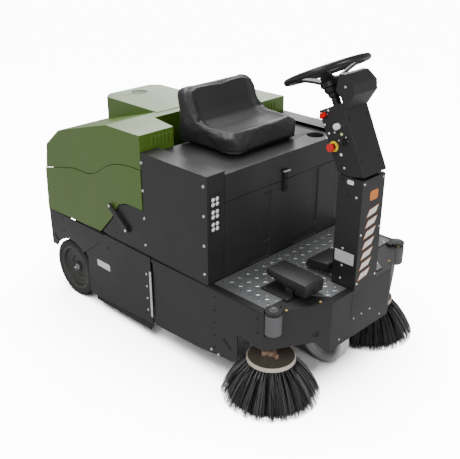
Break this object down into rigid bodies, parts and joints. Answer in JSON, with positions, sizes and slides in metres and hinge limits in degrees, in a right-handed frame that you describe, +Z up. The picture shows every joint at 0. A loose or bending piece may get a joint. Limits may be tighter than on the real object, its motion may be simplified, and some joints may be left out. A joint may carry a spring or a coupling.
{
  "type": "ride-on floor sweeper",
  "caption": "Ride-on floor sweeper with moulded hood, driver's seat, tilting steering column, side brushes, main broom and a rear hopper.",
  "frame": {"origin": "floor level under the middle of the machine's bounding box", "axes": "-Y is the front, +Y the rear, +Z up, -X the driver's right-hand side"},
  "size_m": [1.174, 1.744, 1.4458],
  "materials": {
    "frame_paint": "satin black powder coat",
    "black_panel": "satin black panel",
    "green_moulding": "olive green rotomoulded plastic",
    "tread_metal": "tread plate",
    "tyre_rubber": "black rubber",
    "strap_rubber": "black rubber",
    "grey_rubber": "grey rubber",
    "pale_tyre": "non-marking grey rubber",
    "wheel_paint": "satin black",
    "seat_vinyl": "black grained vinyl",
    "bristle": "black filament",
    "brush_block": "cream block",
    "control_red": "red",
    "control_white": "white",
    "filter_paper": "pleated filter",
    "grip_plastic": "soft-touch black"
  },
  "bodies": {
    "chassis": {"ladder_frame": "frame_paint", "side_panel_r": "frame_paint", "side_panel_l": "frame_paint", "front_bumper": "frame_paint", "deck_pan": "frame_paint", "tread_plate": "tread_metal", "corner_cap_r": "frame_paint", "corner_cap_l": "frame_paint", "rear_panel": "frame_paint", "axle_bracket_r": "frame_paint", "axle_bracket_l": "frame_paint", "seat_box_r": "frame_paint", "seat_box_l": "frame_paint", "seat_box_front": "black_panel", "battery_pack": "black_panel", "lower_hood": "green_moulding", "filter_element": "filter_paper", "vacuum_fan": "black_panel", "column_base": "frame_paint", "pedal_base": "frame_paint"},
    "upper_hood": {"upper_hood": "green_moulding"},
    "seat_deck": {"seat_deck": "black_panel"},
    "deck_latch": {"deck_latch": "strap_rubber"},
    "seat": {"seat_pan": "black_panel", "seat_bucket": "seat_vinyl"},
    "hopper": {"hopper_bin": "black_panel", "hopper_handle": "black_panel"},
    "broom_arm": {"broom_arm": "frame_paint"},
    "main_broom": {"broom_core": "black_panel", "broom_bristles": "bristle"},
    "broom_door_r": {"broom_door_r": "frame_paint"},
    "broom_door_l": {"broom_door_l": "frame_paint"},
    "rear_wheel_r": {"rear_tyre_r": "tyre_rubber", "rear_rim_r": "wheel_paint"},
    "rear_wheel_l": {"rear_tyre_l": "tyre_rubber", "rear_rim_l": "wheel_paint"},
    "steer_fork": {"steer_fork": "frame_paint"},
    "front_wheel": {"front_tyre": "pale_tyre", "front_rim": "wheel_paint"},
    "side_arm_r": {"brush_arm_r": "frame_paint", "brush_motor_r": "frame_paint"},
    "side_arm_l": {"brush_arm_l": "frame_paint", "brush_motor_l": "frame_paint"},
    "side_brush_r": {"brush_disc_r": "brush_block", "brush_bristles_r": "bristle"},
    "side_brush_l": {"brush_disc_l": "brush_block", "brush_bristles_l": "bristle"},
    "corner_roller_r": {"corner_roller_r": "grey_rubber"},
    "corner_roller_l": {"corner_roller_l": "grey_rubber"},
    "column_head": {"upper_column": "frame_paint", "dash_housing": "black_panel"},
    "key_switch": {"key_switch": "control_red"},
    "pull_knob": {"pull_knob": "control_white"},
    "selector_knob": {"selector_knob": "black_panel"},
    "estop_button": {"estop_button": "control_red"},
    "steering_wheel": {"steering_wheel": "grip_plastic"},
    "side_lever": {"side_lever": "frame_paint"},
    "accelerator": {"accelerator_pedal": "black_panel"},
    "brake": {"brake_pedal": "black_panel"}
  },
  "joints": [
    {"name": "hood_hinge", "type": "hinge", "parent": "chassis", "child": "upper_hood", "pos_m": [0, 0.852, 0.70006], "axis": [-1, 0, 0], "range_deg": [0, 55]},
    {"name": "seat_deck_hinge", "type": "hinge", "parent": "chassis", "child": "seat_deck", "pos_m": [0, 0.0445, 0.951], "axis": [-1, 0, 0], "range_deg": [0, 40]},
    {"name": "latch_pin", "type": "hinge", "parent": "seat_deck", "child": "deck_latch", "pos_m": [0, -0.3875, 0.876], "axis": [-1, 0, 0], "range_deg": [0, 90]},
    {"name": "seat_slide", "type": "slide", "parent": "seat_deck", "child": "seat", "axis": [0, -1, 0], "range_m": [0, 0.08]},
    {"name": "hopper_slide", "type": "slide", "parent": "chassis", "child": "hopper", "axis": [0, 1, 0], "range_m": [0, 0.45]},
    {"name": "broom_lift", "type": "hinge", "parent": "chassis", "child": "broom_arm", "pos_m": [0, -0.11, 0.3], "axis": [1, 0, 0], "range_deg": [0, 8]},
    {"name": "main_broom_spin", "type": "hinge", "parent": "broom_arm", "child": "main_broom", "pos_m": [0, 0.19, 0.151], "axis": [1, 0, 0], "continuous": true},
    {"name": "door_hinge_r", "type": "hinge", "parent": "chassis", "child": "broom_door_r", "pos_m": [-0.4825, 0.01, 0.2695], "axis": [0, 0, 1], "range_deg": [0, 110]},
    {"name": "door_hinge_l", "type": "hinge", "parent": "chassis", "child": "broom_door_l", "pos_m": [0.4825, 0.01, 0.2695], "axis": [0, 0, -1], "range_deg": [0, 110]},
    {"name": "rear_axle_r", "type": "hinge", "parent": "chassis", "child": "rear_wheel_r", "pos_m": [-0.446, 0.682, 0.157], "axis": [1, 0, 0], "continuous": true},
    {"name": "rear_axle_l", "type": "hinge", "parent": "chassis", "child": "rear_wheel_l", "pos_m": [0.446, 0.682, 0.157], "axis": [1, 0, 0], "continuous": true},
    {"name": "steering_yaw", "type": "hinge", "parent": "chassis", "child": "steer_fork", "pos_m": [0, -0.655, 0.27], "axis": [0, 0, 1], "range_deg": [-60, 60]},
    {"name": "front_axle", "type": "hinge", "parent": "steer_fork", "child": "front_wheel", "pos_m": [0, -0.655, 0.125], "axis": [1, 0, 0], "continuous": true},
    {"name": "side_arm_lift_r", "type": "hinge", "parent": "chassis", "child": "side_arm_r", "pos_m": [-0.336, -0.44, 0.345], "axis": [-1, 0, 0], "range_deg": [0, 10]},
    {"name": "side_arm_lift_l", "type": "hinge", "parent": "chassis", "child": "side_arm_l", "pos_m": [0.336, -0.44, 0.345], "axis": [-1, 0, 0], "range_deg": [0, 10]},
    {"name": "side_brush_spin_r", "type": "hinge", "parent": "side_arm_r", "child": "side_brush_r", "pos_m": [-0.366, -0.651, 0.195], "axis": [0, 0, 1], "continuous": true},
    {"name": "side_brush_spin_l", "type": "hinge", "parent": "side_arm_l", "child": "side_brush_l", "pos_m": [0.366, -0.651, 0.195], "axis": [0, 0, -1], "continuous": true},
    {"name": "corner_roller_spin_r", "type": "hinge", "parent": "chassis", "child": "corner_roller_r", "pos_m": [-0.443, -0.7245, 0.418], "axis": [0, 0, 1], "continuous": true},
    {"name": "corner_roller_spin_l", "type": "hinge", "parent": "chassis", "child": "corner_roller_l", "pos_m": [0.443, -0.7245, 0.418], "axis": [0, 0, 1], "continuous": true},
    {"name": "column_tilt", "type": "hinge", "parent": "chassis", "child": "column_head", "pos_m": [0, -0.794, 0.982], "axis": [1, 0, 0], "range_deg": [0, 10]},
    {"name": "steering_shaft", "type": "hinge", "parent": "column_head", "child": "steering_wheel", "pos_m": [0, -0.58632, 1.35935], "axis": [0, 0.4305, 0.9026], "range_deg": [-300, 300]},
    {"name": "key_turn", "type": "hinge", "parent": "column_head", "child": "key_switch", "pos_m": [-0.077, -0.64601, 1.20169], "axis": [-1, 0, 0], "range_deg": [0, 90]},
    {"name": "knob_pull", "type": "slide", "parent": "column_head", "child": "pull_knob", "axis": [-1, 0, 0], "range_m": [0, 0.012]},
    {"name": "selector_turn", "type": "hinge", "parent": "column_head", "child": "selector_knob", "pos_m": [-0.077, -0.7535, 1.11336], "axis": [-1, 0, 0], "range_deg": [-45, 45]},
    {"name": "estop_press", "type": "slide", "parent": "column_head", "child": "estop_button", "axis": [1, 0, 0], "range_m": [0, 0.006]},
    {"name": "lever_swing", "type": "hinge", "parent": "chassis", "child": "side_lever", "pos_m": [-0.483, 0.167, 0.55606], "axis": [1, 0, 0], "range_deg": [0, 50]},
    {"name": "accelerator_rock", "type": "hinge", "parent": "chassis", "child": "accelerator", "pos_m": [-0.243, -0.69, 0.5], "axis": [1, 0, 0], "range_deg": [-6, 6], "stiffness_Nm_per_rad": 60},
    {"name": "brake_press", "type": "hinge", "parent": "chassis", "child": "brake", "pos_m": [0.017, -0.58, 0.492], "axis": [1, 0, 0], "range_deg": [0, 8], "stiffness_Nm_per_rad": 40, "springref_deg": -5.73}
  ],
  "couplings": [
    {"joint": "steering_shaft", "follows": "steering_yaw", "ratio": 5}
  ]
}
